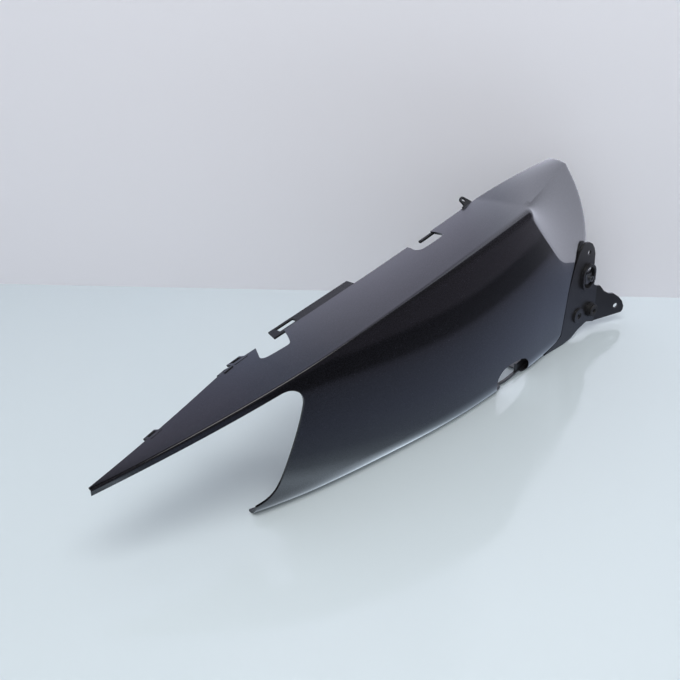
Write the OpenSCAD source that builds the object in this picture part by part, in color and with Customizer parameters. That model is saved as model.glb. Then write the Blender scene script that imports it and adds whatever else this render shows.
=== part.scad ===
// Left rear side panel of a scooter, standing on its rolled lower edge.
// X runs from the arm tip to the tail, Y points inboard, Z is up.
// Positions below are measured from the arm tip and moved at the end.
// The outer painted face looks to -Y.

/* [Crease] */
// Length of the crease from the arm tip to the rear apex
crease_len = 543; // [480:1:600]
// Height of the crease at the arm tip
tip_z = 88; // [80:1:100]
// Height of the crease at the rear apex
apex_z = 218; // [205:1:230]
// Upward sag of the crease above its chord
crease_sag = 18; // [10:1:24]
// Outward bow of the crease in plan
bow = 42; // [30:1:50]

/* [Faces] */
// Wall thickness of the moulding
wall = 2.6; // [2.2:0.1:3]
// Width of the top face behind the arm
top_w = 89; // [80:1:96]
// Fall of the top face towards its inner edge, per unit width
top_fall = 0.2; // [0.15:0.01:0.25]
// Inward lean of the side face over its full height
undercut = 7; // [4:1:9]
// Height of the rolled lower edge
roll_h = 22; // [18:1:26]
// Depth of the rolled lower edge
roll_d = 14; // [11:1:15]
// Width of the flange behind the rolled edge
flange_w = 10; // [6:1:14]

/* [Arm and cut-out] */
// Station of the cut-out's root along the crease
root_x = 210; // [195:1:225]
// Depth of the arm's side strip at the tip
strip_tip = 7.5; // [6:0.5:10]
// Depth of the arm's side strip at the root
strip_root = 10.5; // [9:0.5:12]
// Corner radius of the cut-out's root
root_r = 20; // [16:1:24]
// Forward slope of the cut-out's rear wall over its height
wall_lean = 39; // [32:1:44]
// Forward reach of the lower spike below the root
spike_reach = 52; // [46:1:56]

/* [Rear] */
// Rear end of the facet's crease
facet_low = [669, 33, 69];
// Rear end of the ridge between facet and top face
facet_high = [652, 53, 225];
// Point that pulls the facet's rear edge out
facet_pull = [700, 34, 141];
// Rear end of the top face's inner edge
top_end = [657, 83, 221];
// Rear end of the lower edge
heel_x = 650; // [640:1:655]

/* [Mounting] */
// Bore of the rear ears
ear_bore = 6.5; // [5.5:0.1:7.5]
// Bore of the screw lug on the inner edge
lug_bore = 4.5; // [4:0.1:5]
// Thickness of the tabs, ears and fingers
tab_t = 2.6; // [2.2:0.1:3]

/* [Hidden] */
$fn = 48;

// Mesh density: segments of each strip across the section
n_top = 4;
n_round = 6;
n_strip = 2;
n_side = 12;
n_roll = 5;
c_ridge = n_top;
c_crease = c_ridge + n_round;
c_strip = c_crease + n_strip;
c_roll = c_strip + n_side;
c_flange = c_roll + n_roll;
c_last = c_flange + 1;

// Mesh density: stations of the arm, the body and the rear
s_root = 16;
s_apex = s_root + 26;
s_last = s_apex + 10;
s_return = s_last + 3;
return_d = 10;

// The row's origin lies below the middle of the part's plan
plan_centre = [375.26, 25.45];
bow_x = 235;
rear_bend = 0.00039;
root_cut = root_r * (1 - sqrt(0.5));
root_station = root_x - root_cut;
root_c = [root_x - root_r, arm_edge(root_x - root_r) - root_r * 1.04];

function mix(a, b, t) = a + (b - a) * t;
function clamp01(t) = max(0, min(1, t));
function smooth(t) = let (u = clamp01(t)) u * u * (3 - 2 * u);
function soft_min(a, b, k) = (a + b - sqrt((a - b) * (a - b) + k * k)) / 2;
function bezier(a, b, c, t) = mix(mix(a, b, t), mix(b, c, t), t);
function unit(v) = v / norm(v);

// Plan line of the crease: it bows outboard at bow_x
function plan_y(x) =
    x < bow_x ? -bow + bow * pow((bow_x - x) / bow_x, 1.8)
              : -bow + rear_bend * (x - bow_x) * (x - bow_x);
function crease_z(x) =
    let (t = x / crease_len)
    mix(tip_z, apex_z, t) + 4 * crease_sag * t * (1 - t);

// The lean and the roll both fade towards the rear
function tuck(x) = 1 - 0.35 * smooth((x - 290) / 190) - 0.15 * smooth((x - 590) / 70);
function side_y(x, z) =
    plan_y(x) + undercut * tuck(x) * pow(clamp01(1 - z / crease_z(min(x, crease_len))), 1.6);
function crease_pt(x) = [x, plan_y(x), crease_z(x)];

// Inner edge of the top face
function top_width(x) = soft_min(5 + 0.45 * x, top_w, 9);
function top_pt(x) =
    [x, plan_y(x) + top_width(x), crease_z(x) - top_fall * top_width(x)];

// Radius of the crease grows from the arm to the apex
function crease_r(x) = wall + 0.6 + 9 * smooth((x - root_x) / (crease_len - root_x));

// Station of row i along the crease, up to the apex
function row_x(i) =
    i <= s_root ? root_station * (1 - pow(1 - i / s_root, 1.35))
                : mix(root_station, crease_len, (i - s_root) / (s_apex - s_root));
function rear_t(i) = (i - s_apex) / (s_last - s_apex);

// Driving lines of the section: inner edge, ridge, crease and roll
function line_top(i) =
    i <= s_apex ? top_pt(row_x(i))
                : mix(top_pt(crease_len), top_end, rear_t(i))
                  + [0, 0, 10 * rear_t(i) * (1 - rear_t(i))];
function round_top(x) =
    crease_pt(x) + crease_r(x) * unit(top_pt(x) - crease_pt(x));
function round_side(x) =
    let (z = crease_z(x) - crease_r(x)) [x, side_y(x, z), z];
function line_ridge(i) =
    i <= s_apex ? round_top(row_x(i))
                : mix(round_top(crease_len), facet_high, rear_t(i));
function line_crease(i) =
    i <= s_apex ? round_side(row_x(i))
                : let (p = mix(round_side(crease_len), facet_low, rear_t(i)))
                  [p.x, side_y(p.x, p.z), p.z];
function line_pull(i) =
    i <= s_apex ? crease_pt(row_x(i))
                : let (t = rear_t(i), m = (line_ridge(i) + line_crease(i)) / 2,
                       a = crease_pt(crease_len) - (line_ridge(s_apex) + line_crease(s_apex)) / 2,
                       b = facet_pull - (facet_high + facet_low) / 2)
                  m + a * pow(1 - t, 2) + b * t * t;

// Lower edge of the arm's side strip, with the rounded root of the cut-out
function arm_edge(x) = crease_z(x) - mix(strip_tip, strip_root, x / root_x);
function strip_z(x) =
    let (u = (x - root_c.x) / root_r)
    u < -0.27 ? arm_edge(x) : min(arm_edge(x), root_c.y + root_r * sqrt(1 - min(1, u * u)));
root_drop = crease_z(root_station) - strip_z(root_station);
function sweep(i) =
    let (x = i <= s_apex ? row_x(i) : crease_len)
    1 - smooth((x - root_station) / 130);
function line_strip(i) =
    let (c = line_crease(i), x = c.x)
    i <= s_root ? let (z = strip_z(x)) [x, side_y(x, z), z]
                : let (z = c.z - (root_drop - crease_r(x)) * max(0.35, 1 - clamp01(rear_t(i))))
                  [x, side_y(x, z), z];

// Forward lean of the section below the strip: the rear wall of the cut-out
function lean(i, z) =
    let (w = clamp01(1 - z / root_c.y))
    -sweep(i) * min(spike_reach, wall_lean * (pow(w, 1.3) + 2.5 * pow(w, 15)));
function round_in(i, z) =
    let (v = clamp01((z - root_c.y) / root_r))
    sweep(i) * (root_cut - root_r * (1 - sqrt(1 - v * v)));
function heel(i, w) =
    i <= s_apex ? 0 : rear_t(i) * (heel_x - facet_low.x) * w * (1 + w) / 2;

function side_pt(i, w) =
    let (s = line_strip(i), z = mix(s.z, roll_h, (1 - cos(180 * w)) / 2),
         x = s.x + lean(i, z) + round_in(i, z) + heel(i, w))
    [x, side_y(x, z), z];
function roll_pt(i, v) =
    let (z = roll_h * (1 - sin(90 * v)), s = line_strip(i),
         x = s.x + lean(i, z) + round_in(i, z) + heel(i, 1) - 14 * v * v * max(0, rear_t(i)))
    [x, side_y(x, roll_h) + roll_d * tuck(x) * (1 - cos(90 * v)), z];

// Point of the outer face at row i and column j
function face_pt(i, j) =
    j <= c_ridge ? let (a = line_top(i), b = line_ridge(i), t = j / n_top)
                   mix(a, b, t) + [0, 0, 6 * t * (1 - t) * clamp01(i / s_root)]
  : j <= c_crease ? bezier(line_ridge(i), line_pull(i), line_crease(i), (j - c_ridge) / n_round)
  : j <= c_strip ? mix(line_crease(i), line_strip(i), (j - c_crease) / n_strip)
  : j <= c_roll ? side_pt(i, (j - c_strip) / n_side)
  : j <= c_flange ? roll_pt(i, (j - c_roll) / n_roll)
  : roll_pt(i, 1) + [0, flange_w * max(0.12, 1 - sweep(i)), 0];

// The rear edge is folded inward; each fold row is [rearward, inward]
fold = [[0, 0], [1.4, 0.7], [2, 2.4], [2, return_d]];
function rear_dir(j) = unit(face_pt(s_last, j) - face_pt(s_last - 1, j));
function rear_in(j) =
    unit(cross(rear_dir(j), face_pt(s_last, min(j + 1, c_last)) - face_pt(s_last, max(j - 1, 0))));
function skin(i, j) =
    i <= s_last ? face_pt(i, j)
                : let (f = fold[i - s_last])
                  face_pt(s_last, j) + f.x * rear_dir(j) + f.y * rear_in(j);

function last_col(i) = i < s_root ? c_strip : i > s_last ? c_roll : c_last;
function along(i, j) =
    let (lo = (i == s_root && j > c_strip) ? i : max(i - 1, 0),
         hi = min(i + 1, j > c_roll ? s_last : s_return))
    skin(hi, j) - skin(lo, j);
function across(i, j) = skin(i, min(j + 1, last_col(i))) - skin(i, max(j - 1, 0));
function inner(i, j) = skin(i, j) + wall * unit(cross(along(i, j), across(i, j)));

// The moulded wall: outer skin, inner skin and the rims between them.
// Three patches of rows share their columns: arm, body and rear fold.
module moulded_wall() {
    n_arm = s_root * (c_strip + 1);
    n_body = (s_last - s_root + 1) * (c_last + 1);
    cells = concat([for (i = [0 : s_root - 1], j = [0 : c_strip]) [i, j]],
                   [for (i = [s_root : s_last], j = [0 : c_last]) [i, j]],
                   [for (i = [s_last + 1 : s_return], j = [0 : c_roll]) [i, j]]);
    n_skin = len(cells);
    function id(i, j) =
        i < s_root ? i * (c_strip + 1) + j
      : i <= s_last ? n_arm + (i - s_root) * (c_last + 1) + j
      : n_arm + n_body + (i - s_last - 1) * (c_roll + 1) + j;
    quads = concat([for (i = [0 : s_root - 1], j = [0 : c_strip - 1]) [i, j]],
                   [for (i = [s_root : s_last - 1], j = [0 : c_last - 1]) [i, j]],
                   [for (i = [s_last : s_return - 1], j = [0 : c_roll - 1]) [i, j]]);
    // The rim runs once round the edge of the skin
    rim = concat([for (j = [0 : c_strip]) id(0, j)],
                 [for (i = [1 : s_root]) id(i, c_strip)],
                 [for (j = [c_strip + 1 : c_last]) id(s_root, j)],
                 [for (i = [s_root + 1 : s_last]) id(i, c_last)],
                 [for (j = [c_last - 1 : -1 : c_roll]) id(s_last, j)],
                 [for (i = [s_last + 1 : s_return]) id(i, c_roll)],
                 [for (j = [c_roll - 1 : -1 : 0]) id(s_return, j)],
                 [for (i = [s_return - 1 : -1 : 1]) id(i, 0)]);
    outer_faces = [for (q = quads) each [
        [id(q[0], q[1]), id(q[0] + 1, q[1]), id(q[0] + 1, q[1] + 1)],
        [id(q[0], q[1]), id(q[0] + 1, q[1] + 1), id(q[0], q[1] + 1)]]];
    inner_faces = [for (f = outer_faces) [f[2] + n_skin, f[1] + n_skin, f[0] + n_skin]];
    rim_faces = [for (k = [0 : len(rim) - 1])
        let (a = rim[k], b = rim[(k + 1) % len(rim)]) each [
        [a, b, b + n_skin], [a, b + n_skin, a + n_skin]]];
    polyhedron(concat([for (c = cells) skin(c[0], c[1])], [for (c = cells) inner(c[0], c[1])]),
               concat(outer_faces, inner_faces, rim_faces), convexity = 8);
}

// Places children on the inner edge of the top face: X follows the edge
// to the rear, Y runs inboard in the face and Z stands on it
module at_edge(x) {
    p = top_pt(x);
    d = top_pt(x + 12) - top_pt(x - 12);
    translate(p)
        rotate([-atan(top_fall), -asin(d.z / norm(d)), atan2(d.y, d.x)])
            children();
}

// Step flange beside the top face, with the slot for the seat base's hook
strip_from = 236;
strip_to = 343;
strip_w = 17;
strip_t = 2.2;
module edge_flange() {
    len = (strip_to - strip_from) * 1.045;
    at_edge((strip_from + strip_to) / 2)
        translate([-len / 2, 0, -wall - strip_t])
            difference() {
                translate([0, -5, 1])
                    cube([len, strip_w + 5, strip_t]);
                translate([11.5, 5, 0])
                    cube([22, 8.5, strip_t + 2]);
                // The front end is free where it bridges the notch
                translate([-1, -6, 0])
                    cube([17, 6, strip_t + 2]);
                rotate([0, 0, -14])
                    translate([-10, -6, 0])
                        cube([10, strip_w + 10, strip_t + 2]);
            }
}

// Locating notches in the inner edge, as plan outlines
module edge_notches() {
    translate([0, 0, 100])
        linear_extrude(120)
            polygon([[220, 60], [208.2, 34], [203.8, 25], [203.2, 21.5], [205.2, 18.3],
                     [210, 16.6], [230, 14.4], [233.5, 15.2], [236, 18], [243.5, 33.4],
                     [254, 60]]);
    translate([0, 0, 150])
        linear_extrude(60)
            polygon([[424, 80], [422, 57], [419, 46], [420.5, 39.5], [425, 37],
                     [456, 41], [459, 44], [460, 80]]);
}

// Finger that points forward across a notch
module edge_finger() {
    at_edge(458)
        translate([-20, -4, -wall - 1])
            cube([30, 3.4, tab_t]);
}

// Small open loops that hold trim clips along the arm's inner edge
module arm_loop(x, width, reach, tilt) {
    at_edge(x)
        rotate([-tilt, 0, 0])
            translate([-width / 2, -5, -wall - 0.5])
                difference() {
                    cube([width, reach + 5, 2.4]);
                    translate([3, 6.5, -1])
                        cube([width - 6, reach - 4.5, 5]);
                }
}

// Lug that stands up from the inner edge, with a small hook beside it
module screw_lug() {
    at_edge(529)
        rotate([39, 0, 0])
            translate([0, 0, -tab_t - 0.4])
                difference() {
                    union() {
                        linear_extrude(tab_t)
                            polygon([[-7, -5], [7, -5], [6.5, 2], [4.6, 8], [-4.6, 8],
                                     [-6, 2], [-10, 2], [-10, -1], [-7, -1]]);
                        translate([0, 8, 0])
                            cylinder(r = 4.6, h = tab_t);
                    }
                    translate([0, 7.5, -5])
                        cylinder(d = lug_bore, h = 12);
                }
}

// Notch in the rolled edge: its outline seen from outside
module edge_cut_low() {
    translate([0, 40, 0])
        rotate([90, 0, 0])
            linear_extrude(60)
                polygon([[509, -1], [502, 10], [501, 20], [506, 26], [513, 30.4],
                         [525, 31], [536, 30], [548, 28], [558, 24], [564, 18],
                         [568, 11], [572, -1]]);
}

// Finger along the bottom of that notch and the web it grows from
module low_finger() {
    linear_extrude(3)
        polygon([[518, 4.6], [530, 5.4], [549, 10], [564, 15.2], [590, 22.5], [590, 27],
                 [564, 19.5], [549, 14], [530, 8.8], [518, 7.2]]);
    linear_extrude(13)
        polygon([[553, 12.6], [566, 17], [586, 22.5], [585, 25.4], [565, 19.8], [552, 15]]);
}

// Resting flaps that widen the lower flange
module low_flap(x0, x1) {
    xm = (x0 + x1) / 2;
    yaw = atan2(side_y(x1, roll_h) - side_y(x0, roll_h), x1 - x0);
    translate([xm, side_y(xm, roll_h) + roll_d * tuck(xm), 0])
        rotate([0, 0, yaw])
            translate([(x0 - x1) / 2, 4, 0])
                cube([x1 - x0, 22, 2.2]);
}

// Frame of the rear bracket: X along the plate, Y up, Z outboard
module on_bracket() {
    translate([605, 22.8, 0])
        rotate([0, 0, 8])
            rotate([90, 0, 0])
                children();
}
ear_pos = [80, 111];
low_pos = [68, 30.5];
grommet_pos = [92.5, 30];
ring_pos = [81, 78.5];
clip_pos = [85, 75.5];
tail_pos = [31, 24];

module bracket_outline() {
    union() {
        polygon([[4, 0.4], [42, 0.4], [58, 3], [71, 9.5], [88, 14], [106, 8.5], [106, 57],
                 [98, 62], [94, 86], [93, 106], [90, 114], [85, 121], [78, 125.5],
                 [72, 127], [66, 125], [60, 118], [52, 100], [44, 70], [40, 40],
                 [36, 14], [20, 6]]);
        translate(low_pos)
            circle(r = 13);
    }
}

module rear_bracket() {
    difference() {
        union() {
            on_bracket()
                linear_extrude(tab_t)
                    bracket_outline();
            // Raised ring round the oval window
            on_bracket()
                translate([ring_pos.x, ring_pos.y, 0])
                    oval_ring(13, 17, 6);
            on_bracket()
                translate([low_pos.x, low_pos.y, 0])
                    cylinder(r = 9.5, h = 5);
            on_bracket()
                translate([grommet_pos.x, grommet_pos.y, 0])
                    cylinder(r = 9, h = 8);
            tail_ear();
        }
        on_bracket()
            translate([ear_pos.x, ear_pos.y, -5])
                cylinder(d = ear_bore, h = 20);
        on_bracket()
            translate([low_pos.x, low_pos.y, -5])
                cylinder(d = 8, h = 20);
        on_bracket()
            translate([grommet_pos.x, grommet_pos.y, -5])
                cylinder(d = 11, h = 20);
        on_bracket()
            translate([ring_pos.x, ring_pos.y, -5])
                linear_extrude(20)
                    difference() {
                        oval(10, 14);
                        translate([-1.5, -15])
                            square([15, 22]);
                    }
        // Hole in the tongue for the clip nut's screw
        on_bracket()
            translate([clip_pos.x, clip_pos.y, -5])
                cylinder(d = 6.5, h = 20);
    }
}

module oval(a, b) {
    union() {
        translate([0, b - a])
            circle(r = a);
        translate([0, a - b])
            circle(r = a);
        translate([-a, a - b])
            square([2 * a, 2 * (b - a)]);
    }
}

module oval_ring(a, b, h) {
    linear_extrude(h)
        difference() {
            oval(a, b);
            oval(a - 3, b - 3);
        }
}

// The lower ear leans outboard behind a soft bend
module tail_ear() {
    on_bracket()
        translate([105, 0, 0])
            rotate([0, -23, 0])
                difference() {
                    linear_extrude(tab_t)
                        polygon([[-2, 8.5], [40, 13], [42.5, 16], [43, 21], [40, 29],
                                 [34, 36], [26, 42], [19, 43.5], [12, 48], [5, 57], [-2, 58]]);
                    translate([tail_pos.x, tail_pos.y, -5])
                        cylinder(d = ear_bore, h = 20);
                }
}

module to_origin() {
    translate([-plan_centre.x, -plan_centre.y, 0])
        children();
}

module side_panel() {
    color([0.16, 0.16, 0.18])
        to_origin()
        union() {
            difference() {
                moulded_wall();
                edge_notches();
                edge_cut_low();
            }
            edge_flange();
            edge_finger();
            arm_loop(78, 15, 12, 18);
            arm_loop(176, 12, 13, 27);
            arm_loop(193, 17, 15, 18);
            screw_lug();
            low_finger();
            low_flap(388, 465);
            low_flap(560, 630);
            rear_bracket();
        }
}

// Folded spring nut pushed over the free edge of the window's tongue
module clip_nut() {
    color([0.45, 0.46, 0.48])
        to_origin()
        on_bracket()
            translate([clip_pos.x, clip_pos.y, 0])
                difference() {
                    union() {
                        for (z = [-0.8, tab_t])
                            translate([-6, -6.5, z])
                                cube([9.8, 13, 0.8]);
                        translate([-6.8, -6.5, -0.8])
                            cube([0.8, 13, tab_t + 1.6]);
                        translate([0, 0, tab_t + 0.4])
                            cylinder(d = 7.5, h = 4);
                    }
                    translate([0, 0, -4])
                        cylinder(d = 5, h = 16);
                }
}

// Rubber nut with a flange, seated in the hub
module grommet_nut() {
    color([0.05, 0.05, 0.05])
        to_origin()
        on_bracket()
            translate([grommet_pos.x, grommet_pos.y, 0])
                difference() {
                    union() {
                        translate([0, 0, -3])
                            cylinder(d = 11, h = 11);
                        translate([0, 0, 8])
                            cylinder(d = 15, h = 2);
                    }
                    translate([0, 0, -4])
                        cylinder(d = 5, h = 16);
                }
}

side_panel();
clip_nut();
grommet_nut();
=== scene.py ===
"""Left rear side panel of a scooter, dressed for a studio picture."""

import math

import bmesh
import bpy
from bpy.props import FloatProperty, FloatVectorProperty, PointerProperty
from mathutils import Matrix, Vector


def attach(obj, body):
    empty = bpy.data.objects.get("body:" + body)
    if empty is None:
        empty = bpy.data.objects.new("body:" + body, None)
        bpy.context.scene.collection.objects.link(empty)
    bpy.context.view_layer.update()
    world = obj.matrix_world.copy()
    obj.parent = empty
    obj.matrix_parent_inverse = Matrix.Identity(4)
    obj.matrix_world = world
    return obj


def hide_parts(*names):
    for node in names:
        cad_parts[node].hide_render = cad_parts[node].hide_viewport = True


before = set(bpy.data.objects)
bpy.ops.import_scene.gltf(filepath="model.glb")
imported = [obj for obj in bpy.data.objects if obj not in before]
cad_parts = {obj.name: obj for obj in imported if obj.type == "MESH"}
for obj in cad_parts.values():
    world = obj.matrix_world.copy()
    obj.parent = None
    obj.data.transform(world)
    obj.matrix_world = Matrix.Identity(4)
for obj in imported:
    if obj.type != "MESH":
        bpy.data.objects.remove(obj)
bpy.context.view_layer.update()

bl_info = {
    "name": "Scooter Rear Side Panel",
    "version": (1, 0, 0),
    "blender": (4, 5, 0),
    "location": "View3D > Sidebar > Side Panel",
    "description": "Painted shell, bracket and nuts of a scooter's rear side panel",
    "category": "Mesh",
}

# Drawings below are in millimetres from the arm tip: X to the tail, Y inboard
TO_ROW = Matrix.Scale(0.001, 4) @ Matrix.Translation((-375.26, -25.45, 0.0))


def millimetres(length):
    return length * 1000


def size_of(name, text, metres):
    """A length property with its default."""
    return number_of(name, text, metres, precision=5, unit="LENGTH", subtype="DISTANCE", min=0.0)


def number_of(name, text, value, **more):
    """A number property with its default."""
    return FloatProperty(name=name, description=text, default=value, **more)


def colour_of(name, text, rgb):
    """A colour property with its default."""
    return FloatVectorProperty(name=name, description=text, default=rgb, size=3,
                               min=0.0, max=1.0, subtype="COLOR")


class ShellSizes(bpy.types.PropertyGroup):
    """Sizes of the painted shell"""
    crease_len: size_of("Crease length", "From the arm tip to the rear apex", 0.543)
    tip_z: size_of("Tip height", "Height of the crease at the arm tip", 0.088)
    apex_z: size_of("Apex height", "Height of the crease at the rear apex", 0.218)
    crease_sag: size_of("Crease sag", "Upward sag of the crease above its chord", 0.018)
    bow: size_of("Bow", "Outward bow of the crease in plan", 0.042)
    wall: size_of("Wall", "Thickness of the moulding", 0.0026)
    top_w: size_of("Top width", "Width of the top face behind the arm", 0.089)
    top_fall: number_of("Top fall", "Fall of the top face per unit of width", 0.2, min=0.0)
    undercut: size_of("Undercut", "Inward lean of the side face", 0.007)
    roll_h: size_of("Roll height", "Height of the rolled lower edge", 0.022)
    roll_d: size_of("Roll depth", "Depth of the rolled lower edge", 0.014)
    flange_w: size_of("Flange width", "Flange behind the rolled edge", 0.010)
    root_x: size_of("Root", "Root of the cut-out along the crease", 0.210)
    strip_tip: size_of("Strip at tip", "Depth of the arm's side strip at the tip", 0.0075)
    strip_root: size_of("Strip at root", "Depth of the arm's side strip at the root", 0.0105)
    root_r: size_of("Root radius", "Corner radius of the cut-out's root", 0.020)
    wall_lean: size_of("Wall lean", "Forward slope of the cut-out's rear wall", 0.039)
    spike_reach: size_of("Spike reach", "Forward reach of the lower spike", 0.052)
    edge_round: size_of("Edge rounding", "Rounding of the moulded edges", 0.0005)


class FittingSizes(bpy.types.PropertyGroup):
    """Sizes of the black fittings and nuts"""
    ear_bore: size_of("Ear bore", "Bore of the rear ears", 0.0065)
    lug_bore: size_of("Lug bore", "Bore of the screw lug on the inner edge", 0.0045)
    nut_bore: size_of("Nut bore", "Bore of the two nuts", 0.005)
    tab_t: size_of("Tab thickness", "Thickness of tabs, ears and fingers", 0.0026)
    bend_r: size_of("Bend radius", "Bend that tips the tail ear outboard", 0.008)
    bend_angle: number_of("Bend angle", "Outboard tip of the tail ear", math.radians(23),
                          subtype="ANGLE", unit="ROTATION")
    edge_round: size_of("Edge rounding", "Rounding of the fittings' edges", 0.0004)


class Finishes(bpy.types.PropertyGroup):
    """Colours and surface values of the finishes"""
    paint: colour_of("Paint", "Ground colour of the metallic paint", (0.002, 0.002, 0.003))
    flake: colour_of("Flake", "Colour of the bright flakes", (0.018, 0.018, 0.024))
    plastic: colour_of("Bare plastic", "Unpainted moulding", (0.012, 0.012, 0.013))
    steel: colour_of("Spring steel", "Dark plated clip", (0.30, 0.31, 0.32))
    rubber: colour_of("Rubber", "Nut that sits in the hub", (0.015, 0.015, 0.015))
    dust: number_of("Dust", "How much fine dust lies on upward faces", 0.12, min=0.0, max=1.0,
                    subtype="FACTOR")


class StudioSetup(bpy.types.PropertyGroup):
    """Camera, lights and stage"""
    camera_at: FloatVectorProperty(name="Camera", size=3, subtype="XYZ", unit="LENGTH",
                                   default=(-0.7752, -0.9107, 0.780),
                                   description="Place of the camera")
    pitch: number_of("Pitch", "How far the camera looks down", math.radians(29.6),
                     subtype="ANGLE", unit="ROTATION")
    lens: number_of("Lens", "Focal length on a 36 mm sensor", 68.3, min=10.0, unit="CAMERA")
    floor: colour_of("Floor", "Pale plain floor", (0.66, 0.74, 0.77))
    backdrop: colour_of("Backdrop", "Pale plain backdrop", (0.87, 0.87, 0.92))
    key: number_of("Key light", "Power of the large soft light overhead", 14.0, min=0.0,
                   unit="POWER")
    fill: number_of("Fill light", "Power of the soft light beside the camera", 4.0, min=0.0,
                    unit="POWER")
    even: number_of("Even light", "Strength of the even light from all sides", 0.62, min=0.0)


# Form of the shell

def mix(a, b, t):
    return a + (b - a) * t


def clamp01(t):
    return max(0.0, min(1.0, t))


def smooth(t):
    u = clamp01(t)
    return u * u * (3 - 2 * u)


def bezier(a, b, c, t):
    return mix(mix(a, b, t), mix(b, c, t), t)


class ShellForm:
    """Outer face of the shell as rows to the tail and columns down the section.

    The columns cross the top face, the round crease, the side strip, the side
    face, the rolled edge and the flange. Rows past REAR are the folded rear edge.
    """

    # Rows and columns where one part of the shell ends and the next begins, and how
    # closely the arm's rows crowd toward the root of the cut-out
    ROOT, APEX, REAR = 16, 42, 52
    RIDGE, CREASE, STRIP, SIDE, ROLL, FLANGE = 4, 10, 12, 24, 29, 30
    ROW_CROWDING = 1.35
    # Plan: where the bow is widest, its curve to the tip and its bend to the tail
    BOW_X, TIP_CURVE, REAR_BEND = 235.0, 1.8, 0.00039
    # Tuck of the side face: the share that fades, from where and over what length
    TUCK_FADES = (0.35, 290, 190), (0.15, 590, 70)
    LEAN_CURVE = 1.6
    # Top face: width at the arm tip, its gain, softness of its end, crown, rise at the rear
    TIP_WIDTH, WIDTH_GAIN, WIDTH_BLEND = 5, 0.45, 9
    CROWN, REAR_RISE = 6, 10
    # Inner radius of the crease along the arm, and what it gains up to the apex
    CREASE_ROUND, CREASE_GAIN = 0.6, 9
    # Cut-out: depth of its root's centre and start of its arc, both in radii of the
    # root, and the length over which its shape fades
    ROOT_DIP, ARC_START, FADE_RUN = 1.04, -0.27, 130
    # Lean of the cut-out's rear wall and its sharp end in the spike
    WALL_CURVE, SPIKE_GAIN, SPIKE_CURVE = 1.3, 2.5, 15
    # Least share that is left of the side strip at the rear and of the flange in front
    STRIP_LEFT, FLANGE_LEFT = 0.35, 0.12
    # Rear facet, the heel under it and the fold of the rear edge
    FACET_LOW = Vector((669, 33, 69))
    FACET_HIGH = Vector((652, 53, 225))
    FACET_PULL = Vector((700, 34, 141))
    TOP_END = Vector((657, 83, 221))
    HEEL_X, ROLL_BACK = 650.0, 14
    FOLD_R, FOLD_D = 2.0, 10.0
    # Half the length over which the direction of the inner edge is taken
    HALF_SPAN = 12

    def __init__(self, sizes):
        for name in ShellSizes.__annotations__:
            setattr(self, name, millimetres(getattr(sizes, name)))
        self.top_fall = sizes.top_fall
        self.root_cut = self.root_r * (1 - math.sqrt(0.5))
        self.root_station = self.root_x - self.root_cut
        centre_x = self.root_x - self.root_r
        self.root_c = (centre_x, self.arm_edge(centre_x) - self.root_r * self.ROOT_DIP)
        self.root_drop = self.crease_z(self.root_station) - self.strip_z(self.root_station)

    def plan_y(self, x):
        if x < self.BOW_X:
            return -self.bow + self.bow * ((self.BOW_X - x) / self.BOW_X) ** self.TIP_CURVE
        return -self.bow + self.REAR_BEND * (x - self.BOW_X) ** 2

    def crease_z(self, x):
        t = x / self.crease_len
        return mix(self.tip_z, self.apex_z, t) + 4 * self.crease_sag * t * (1 - t)

    def tuck(self, x):
        return 1 - sum(share * smooth((x - start) / run) for share, start, run in self.TUCK_FADES)

    def side_y(self, x, z):
        lean = clamp01(1 - z / self.crease_z(min(x, self.crease_len)))
        return self.plan_y(x) + self.undercut * self.tuck(x) * lean ** self.LEAN_CURVE

    def crease_pt(self, x):
        return Vector((x, self.plan_y(x), self.crease_z(x)))

    def top_width(self, x):
        narrow = self.TIP_WIDTH + self.WIDTH_GAIN * x
        return (narrow + self.top_w - math.hypot(narrow - self.top_w, self.WIDTH_BLEND)) / 2

    def top_pt(self, x):
        width = self.top_width(x)
        return Vector((x, self.plan_y(x) + width, self.crease_z(x) - self.top_fall * width))

    def crease_r(self, x):
        along = (x - self.root_x) / (self.crease_len - self.root_x)
        return self.wall + self.CREASE_ROUND + self.CREASE_GAIN * smooth(along)

    def row_x(self, i):
        if i <= self.ROOT:
            return self.root_station * (1 - (1 - i / self.ROOT) ** self.ROW_CROWDING)
        return mix(self.root_station, self.crease_len, (i - self.ROOT) / (self.APEX - self.ROOT))

    def rear_t(self, i):
        return (i - self.APEX) / (self.REAR - self.APEX)

    def round_top(self, x):
        crease = self.crease_pt(x)
        return crease + self.crease_r(x) * (self.top_pt(x) - crease).normalized()

    def round_side(self, x):
        z = self.crease_z(x) - self.crease_r(x)
        return Vector((x, self.side_y(x, z), z))

    def line_top(self, i):
        if i <= self.APEX:
            return self.top_pt(self.row_x(i))
        t = self.rear_t(i)
        rise = Vector((0, 0, self.REAR_RISE * t * (1 - t)))
        return mix(self.top_pt(self.crease_len), self.TOP_END, t) + rise

    def line_ridge(self, i):
        if i <= self.APEX:
            return self.round_top(self.row_x(i))
        return mix(self.round_top(self.crease_len), self.FACET_HIGH, self.rear_t(i))

    def line_crease(self, i):
        if i <= self.APEX:
            return self.round_side(self.row_x(i))
        p = mix(self.round_side(self.crease_len), self.FACET_LOW, self.rear_t(i))
        return Vector((p.x, self.side_y(p.x, p.z), p.z))

    def line_pull(self, i):
        if i <= self.APEX:
            return self.crease_pt(self.row_x(i))
        t = self.rear_t(i)
        middle = (self.line_ridge(i) + self.line_crease(i)) / 2
        start = (self.line_ridge(self.APEX) + self.line_crease(self.APEX)) / 2
        a = self.crease_pt(self.crease_len) - start
        b = self.FACET_PULL - (self.FACET_HIGH + self.FACET_LOW) / 2
        return middle + a * (1 - t) ** 2 + b * t * t

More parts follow.
